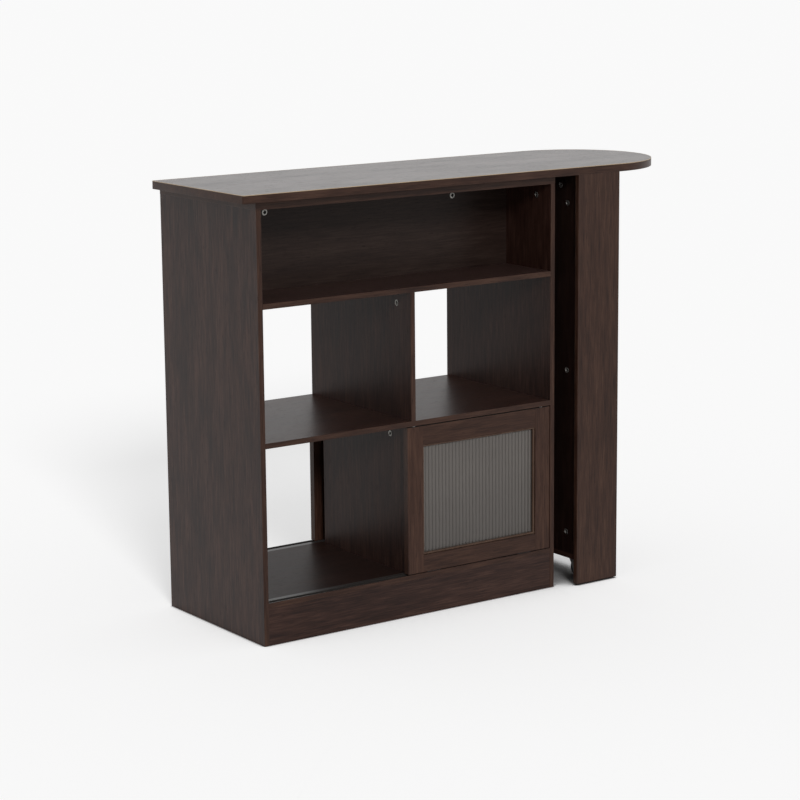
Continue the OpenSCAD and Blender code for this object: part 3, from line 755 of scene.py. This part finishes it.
# ---- Door running gear ----
# A black nylon block with a wheel at each end of the bottom rail, on steel axles. On
# top, two white pins run in the upper track through a strip of black pile against dust;
# the pile also paints the shade in the gap above the door.
def moulded(name, colour, rough, grain=700):
    """Moulded plastic: a faint cloud in its colour and a fine eroded skin."""
    made, net, skin = finish(name, Specular_IOR_Level=0.45)
    place = object_place(net)
    cloud = noise(net, place, 60, detail=3)
    eroded = noise(net, place, grain, detail=2)
    net.feed(skin, {
        "Base Color": net.blend(cloud, shade(colour, 0.84), colour),
        "Roughness": cloud * 0.15 + rough,
        "Normal": bumps(net, eroded, strength=0.15, depth=0.0001)})
    return made


nylon = moulded("white_nylon", (0.78, 0.78, 0.75), rough=0.38)
black_nylon = moulded("black_nylon", (0.020, 0.020, 0.021), rough=0.42)
# The pile's near-black also stands in for the shade in the door's top gap.
pile_black_shade = moulded("dust_pile_shade", (0.010, 0.009, 0.008), rough=0.80, grain=1600)
pin_steel = metal("pin_steel", (0.62, 0.61, 0.59), rough=0.25)
pile_high = 0.0003
pile_deep = 0.0140
rail_top = (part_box("front_door_top_rail")[1].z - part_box("front_door_guides")[1].z) / mm
guide_pin = turned_shape("guide_pin", [
    (0, rail_top - 14), (2.9, rail_top - 14), (2.9, rail_top), (4.5, rail_top),
    (4.6, rail_top + 2.6), (3.6, rail_top + 3.0), (3.5, -1.0), (3.1, -0.35), (1.8, 0),
    (0, 0)], steps=32)
for side in ("front", "rear"):
    dress([f"{side}_door_{part}" for part in ("carriages", "wheel_left", "wheel_right")],
          black_nylon)
    dress([f"{side}_door_axles"], pin_steel)
    pin_spots = []
    for points in solids(f"{side}_door_guides"):
        low, high = span(points)
        middle = (low + high) / 2
        pin_spots.append(((middle.x, middle.y, high.z), upright, full_size))
    pins = set_in_place(f"{side}_door_guide_pins", guide_pin, pin_spots, nylon)
    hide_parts(f"{side}_door_guides")
    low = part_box(f"{side}_door_left_stile")[0]
    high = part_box(f"{side}_door_right_stile")[1]
    middle = (low + high) / 2
    pile_spot = Vector((middle.x, middle.y, high.z)), lying, (1, 1, high.x - low.x)
    pile = grow(f"{side}_door_dust_strip", places("pile_spot", [pile_spot]), strip_net, {
        "Width": pile_high * 2, "Thickness": pile_deep, "Round": pile_high,
        "Material": pile_black_shade})
    for piece in (pins, pile):
        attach(piece, f"{side}_door")


# ---- Table top ----
# A board of its own on the pivot, square at one end and round at the other, glossier
# than the rest. One band goes round its whole edge; its pale top arris line is both a
# scraped arris and a painted highlight.
dress(["table_top"], wood_print(
    "table_print", along, *espresso, gloss=0.22, sheen=0.22, contrast=1.3, varnish=0.25))
sweep_net, inlet = geometry_net("edge_sweep", section_inputs)
outline = sweep_net.add("GeometryNodeMeshToCurve", None, {"Mesh": inlet["Geometry"]})[0]
level = sweep_net.add("GeometryNodeSetCurveNormal", {"mode": "Z_UP"}, {
    "Curve": outline})[0]
swept = sweep_net.add("GeometryNodeCurveToMesh", None, {
    "Curve": level, "Profile Curve": rounded_section(sweep_net, inlet)})[0]
close_net(sweep_net, swept, inlet["Material"])

low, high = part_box("table_top")
end_round, end_steps = (high.y - low.y) / 2, 72
corner_round, corner_steps = 0.004, 6
arcs = [
    (high.x - end_round, low.y + end_round, end_round, -90, 90, end_steps),
    (low.x + corner_round, high.y - corner_round, corner_round, 90, 180, corner_steps),
    (low.x + corner_round, low.y + corner_round, corner_round, 180, 270, corner_steps)]


def table_outline(name, height):
    """The table's closed edge line at a height."""
    points = []
    for x, y, radius, start, stop, steps in arcs:
        for step in range(steps + 1):
            angle = math.radians(start + (stop - start) * step / steps)
            points.append((
                x + radius * math.cos(angle), y + radius * math.sin(angle), height))
    mesh = bpy.data.meshes.new(name)
    mesh.from_pydata(points, [(i, (i + 1) % len(points)) for i in range(len(points))], [])
    return mesh


# A pale line along the top arris: scraped plastic and a painted highlight.
pale_arris_highlight = moulded("scraped_arris_highlight", (0.52, 0.38, 0.23), rough=0.35)
arris_wide = 0.0014
arris_proud = 0.0002
arris_height = high.z - arris_wide / 2 + arris_proud
for name, height, width, tall, paint in (
        ("table_band", (low.z + high.z) / 2, band_thick * 2, high.z - low.z, band_along),
        ("table_arris", arris_height, arris_wide, arris_wide, pale_arris_highlight)):
    piece = grow(name, table_outline(name, height), sweep_net, {
        "Width": width, "Thickness": tall, "Round": min(width, tall) * 0.45,
        "Material": paint})
    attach(piece, "table")


# ---- Pivot ----
# A flanged steel bolt let into the table's underside turns in a nylon bush through the
# cabinet top, with a nylon ring between the two boards and a nut below.
dress(["pivot_bolt", "pivot_nut"], pin_steel)
dress(["pivot_bushing", "slip_ring"], nylon)


# ---- Leg ----
# Two upright boards joined by a web and a bottom board, under the table's round end.
# The web's face towards the cabinet has a darker colour: a painted shade.
leg_boards = ("leg_front_board", "leg_rear_board")
dress(leg_boards, wood_print("leg_grain_up", up, *warm, sheen=0.20))
dress(["leg_bottom_board"], wood_print("board_grain_deep", deep, *espresso))
# The web's face towards the cabinet is dimmed in colour: painted shade.
shade_face_depth = 0.0004
painted_shade_share = 0.36
web_print = wood_print("web_grain_up", up, *espresso, sheen=0.14)
web_skin = web_print.node_tree.nodes["Principled BSDF"]
net = Net(web_print.node_tree)
printed = Wire(net, web_skin.inputs["Base Color"].links[0].from_socket)
place = net.add("ShaderNodeSeparateXYZ", None, {0: object_place(net)})
past_painted_shade = place["X"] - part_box("leg_web")[0].x > shade_face_depth
net.feed(web_skin, {
    "Base Color": net.blend(past_painted_shade, dim(net, printed, painted_shade_share), printed)})
dress(["leg_web"], web_print)
lay_bands("leg_bands_up", [
    (name, face) for name in leg_boards for face in (left_face, right_face)],
    band_up, "table")
lay_bands("leg_bands_low", [(name, under_face) for name in leg_boards],
          band_along, "table")


# ---- Casters ----
# Pressed zinc forks that swivel under plates, each with a ribbed nylon hub in a round
# shouldered rubber tyre, a peened axle and four screws up into the bottom board.
caster_zinc = metal("caster_zinc", (0.55, 0.55, 0.54), rough=0.30, grime=0.3)
tyre_rubber = moulded("caster_rubber", (0.045, 0.045, 0.047), rough=0.50)
hub_nylon = moulded("caster_hub", (0.150, 0.150, 0.155), rough=0.38)
tyre = turned_shape("tyre", [
    (13.4, -7.8), (16.0, -8.9), (18.6, -8.8), (20.2, -7.4), (20.8, -5.0), (21.0, 0),
    (20.8, 5.0), (20.2, 7.4), (18.6, 8.8), (16.0, 8.9), (13.4, 7.8), (13.4, -7.8)],
    steps=64, sharp=50)
hub = turned_shape("hub", [
    (2.6, -9.0), (5.2, -9.0), (5.7, -8.5), (5.9, -3.4), (11.4, -3.0), (12.0, -8.2),
    (13.6, -8.4), (13.6, 8.4), (12.0, 8.2), (11.4, 3.0), (5.9, 3.4), (5.7, 8.5),
    (5.2, 9.0), (2.6, 9.0), (2.6, -9.0)], steps=48)
rib = (7.0, 1.3, 4.2)
rib_radius, rib_height = 8.8, 4.9
rib_turns = [math.radians(turn) for turn in range(0, 360, 60)]
for height in (-rib_height, rib_height):
    add_bars(hub, rib, (rib_radius, 0, height), rib_turns)
peened_end = turned_shape("peened_end", [
    (0, -0.6), (3.4, -0.6), (3.5, -0.1), (3.1, 0.5), (2.2, 0.95), (1.1, 1.15),
    (0, 1.2)], steps=24)
screw = turned_shape("screw", [
    (0, -11.4), (0.6, -10.6), (1.7, -9.4), (1.9, -1.6), (3.5, -1.5), (3.6, -1.2),
    (3.2, -0.5), (2.3, -0.06), (1.7, 0), (1.5, -0.15), (0.5, -1.1), (0, -1.1)],
    steps=24)
screw_cross = (2.9, 0.6, 0.5)
add_bars(screw, screw_cross, (0, 0, -0.5), (math.pi / 4, 3 * math.pi / 4))
head_down = (math.pi, 0, 0)
heads = []
for points in solids("caster_screws"):
    low, high = span(points)
    middle = (low + high) / 2
    heads.append((Vector((middle.x, middle.y, low.z)), head_down, full_size))
screws = set_in_place("caster_screw_heads", screw, heads, zinc)
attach(screws, "table")
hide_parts("caster_screws")

pressing_ease = 0.0005
for side in ("front", "rear"):
    plate, fork, axle = (f"{side}_caster_{part}" for part in ("plate", "fork", "axle"))
    dress([plate, fork, axle], caster_zinc)
    ease([plate, fork], pressing_ease)
    low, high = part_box(f"{side}_caster_wheel")
    middle = (low + high) / 2
    rolling = [
        set_in_place(f"{side}_caster_{part}", shape, [(middle, lying, full_size)], paint)
        for part, shape, paint in (
            ("tyre", tyre, tyre_rubber), ("hub", hub, hub_nylon))]
    for piece in rolling:
        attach(piece, f"{side}_caster_wheel")
    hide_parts(f"{side}_caster_wheel")
    low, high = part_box(axle)
    ends = set_in_place(f"{side}_caster_peened_ends", peened_end, [
        (Vector((x, middle.y, middle.z)), (0, turn, 0), full_size)
        for x, turn in ((low.x, -math.pi / 2), (high.x, math.pi / 2))], caster_zinc)
    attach(ends, f"{side}_caster")
